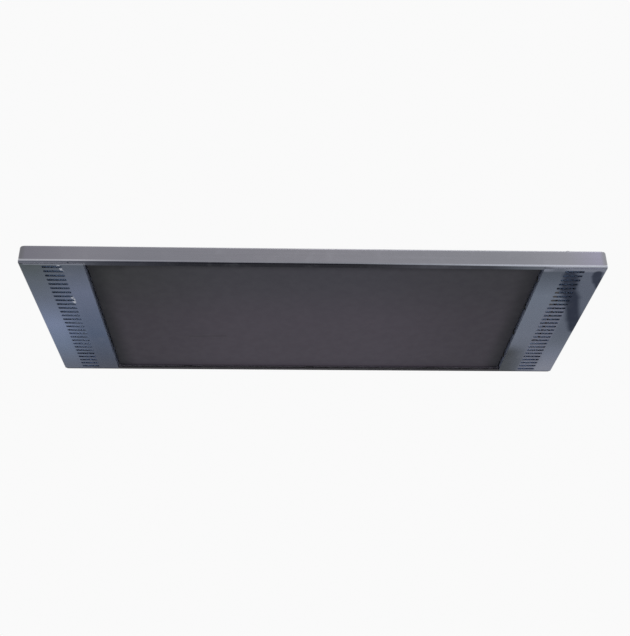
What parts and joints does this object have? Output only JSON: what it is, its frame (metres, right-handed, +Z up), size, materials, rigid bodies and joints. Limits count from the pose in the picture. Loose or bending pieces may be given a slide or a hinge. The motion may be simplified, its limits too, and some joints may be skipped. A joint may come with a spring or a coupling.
{
  "type": "infrared panel heater",
  "caption": "Overhead electric infrared heater: shallow steel casing with slotted end plates, recessed dark radiant plate below, hanging rings and a cable gland on its back.",
  "frame": {"origin": "middle of the underside, level with the end plates' faces", "axes": "+X along the casing towards the wired end, +Y from the front rail to the rear rail, +Z up from the radiant face to the back cover"},
  "size_m": [1, 0.41, 0.0543],
  "materials": {
    "stainless": "fine-grained stainless sheet, dull mirror",
    "radiant_coating": "matt dark high-emissivity coating, lightly textured",
    "galvanised": "galvanised sheet with faint spangle",
    "blued_steel": "heat-blued steel strip",
    "element_sheath": "oxidised dark sheath",
    "ceramic": "brown-glazed porcelain",
    "foil": "bright rolled foil",
    "fibre": "pressed off-white mineral fibre",
    "brass": "machined brass",
    "zinc_steel": "bright zinc plate",
    "black_nylon": "moulded black nylon",
    "rubber": "moulded black rubber",
    "bakelite": "moulded dark brown",
    "brown_sleeve": "woven high-temperature sleeve",
    "blue_sleeve": "woven high-temperature sleeve",
    "green_yellow_sleeve": "green and yellow striped sleeve"
  },
  "bodies": {
    "casing": {"back_cover": "stainless", "block_nut": "zinc_steel", "cover_screw_1": "zinc_steel", "cover_screw_2": "zinc_steel", "cover_screw_3": "zinc_steel", "cover_screw_4": "zinc_steel", "cover_screw_5": "zinc_steel", "cover_screw_6": "zinc_steel", "earth_nut": "brass", "earth_wire": "green_yellow_sleeve", "element_bush_1": "ceramic", "element_bush_2": "ceramic", "element_bush_3": "ceramic", "element_bush_4": "ceramic", "front_heating_element": "element_sheath", "front_left_saddle": "zinc_steel", "front_rail": "stainless", "front_right_saddle": "zinc_steel", "gland_body": "black_nylon", "gland_dome_nut": "black_nylon", "gland_locknut": "black_nylon", "gland_seal": "rubber", "insulation_blanket": "fibre", "left_bulkhead": "galvanised", "left_cross_strap": "blued_steel", "left_end_plate": "stainless", "live_wire": "brown_sleeve", "middle_cross_strap": "blued_steel", "neutral_wire": "blue_sleeve", "pin_nut_1": "brass", "pin_nut_2": "brass", "pin_nut_3": "brass", "pin_nut_4": "brass", "radiant_plate": "radiant_coating", "rear_heating_element": "element_sheath", "rear_left_saddle": "zinc_steel", "rear_rail": "stainless", "rear_right_saddle": "zinc_steel", "reflector_sheet": "foil", "right_bulkhead": "galvanised", "right_cross_strap": "blued_steel", "right_end_plate": "stainless", "series_link_bar": "brass", "strap_nut_1": "zinc_steel", "strap_nut_2": "zinc_steel", "strap_nut_3": "zinc_steel", "strap_nut_4": "zinc_steel", "strap_nut_5": "zinc_steel", "strap_nut_6": "zinc_steel", "switched_live_wire": "brown_sleeve", "terminal_block": "ceramic", "terminal_sleeve_1": "brass", "terminal_sleeve_2": "brass", "terminal_sleeve_3": "brass", "thermal_cutout": "bakelite"},
    "front_left_hanger": {"front_left_ring": "zinc_steel"},
    "front_right_hanger": {"front_right_ring": "zinc_steel"},
    "rear_left_hanger": {"rear_left_ring": "zinc_steel"},
    "rear_right_hanger": {"rear_right_ring": "zinc_steel"}
  },
  "joints": [
    {"name": "front_left_ring_hinge", "type": "hinge", "parent": "casing", "child": "front_left_hanger", "pos_m": [-0.445, -0.115, 0.0363], "axis": [0, -1, 0], "range_deg": [0, 180]},
    {"name": "front_right_ring_hinge", "type": "hinge", "parent": "casing", "child": "front_right_hanger", "pos_m": [0.445, -0.115, 0.0363], "axis": [0, 1, 0], "range_deg": [0, 180]},
    {"name": "rear_left_ring_hinge", "type": "hinge", "parent": "casing", "child": "rear_left_hanger", "pos_m": [-0.445, 0.115, 0.0363], "axis": [0, -1, 0], "range_deg": [0, 180]},
    {"name": "rear_right_ring_hinge", "type": "hinge", "parent": "casing", "child": "rear_right_hanger", "pos_m": [0.445, 0.115, 0.0363], "axis": [0, 1, 0], "range_deg": [0, 180]}
  ]
}
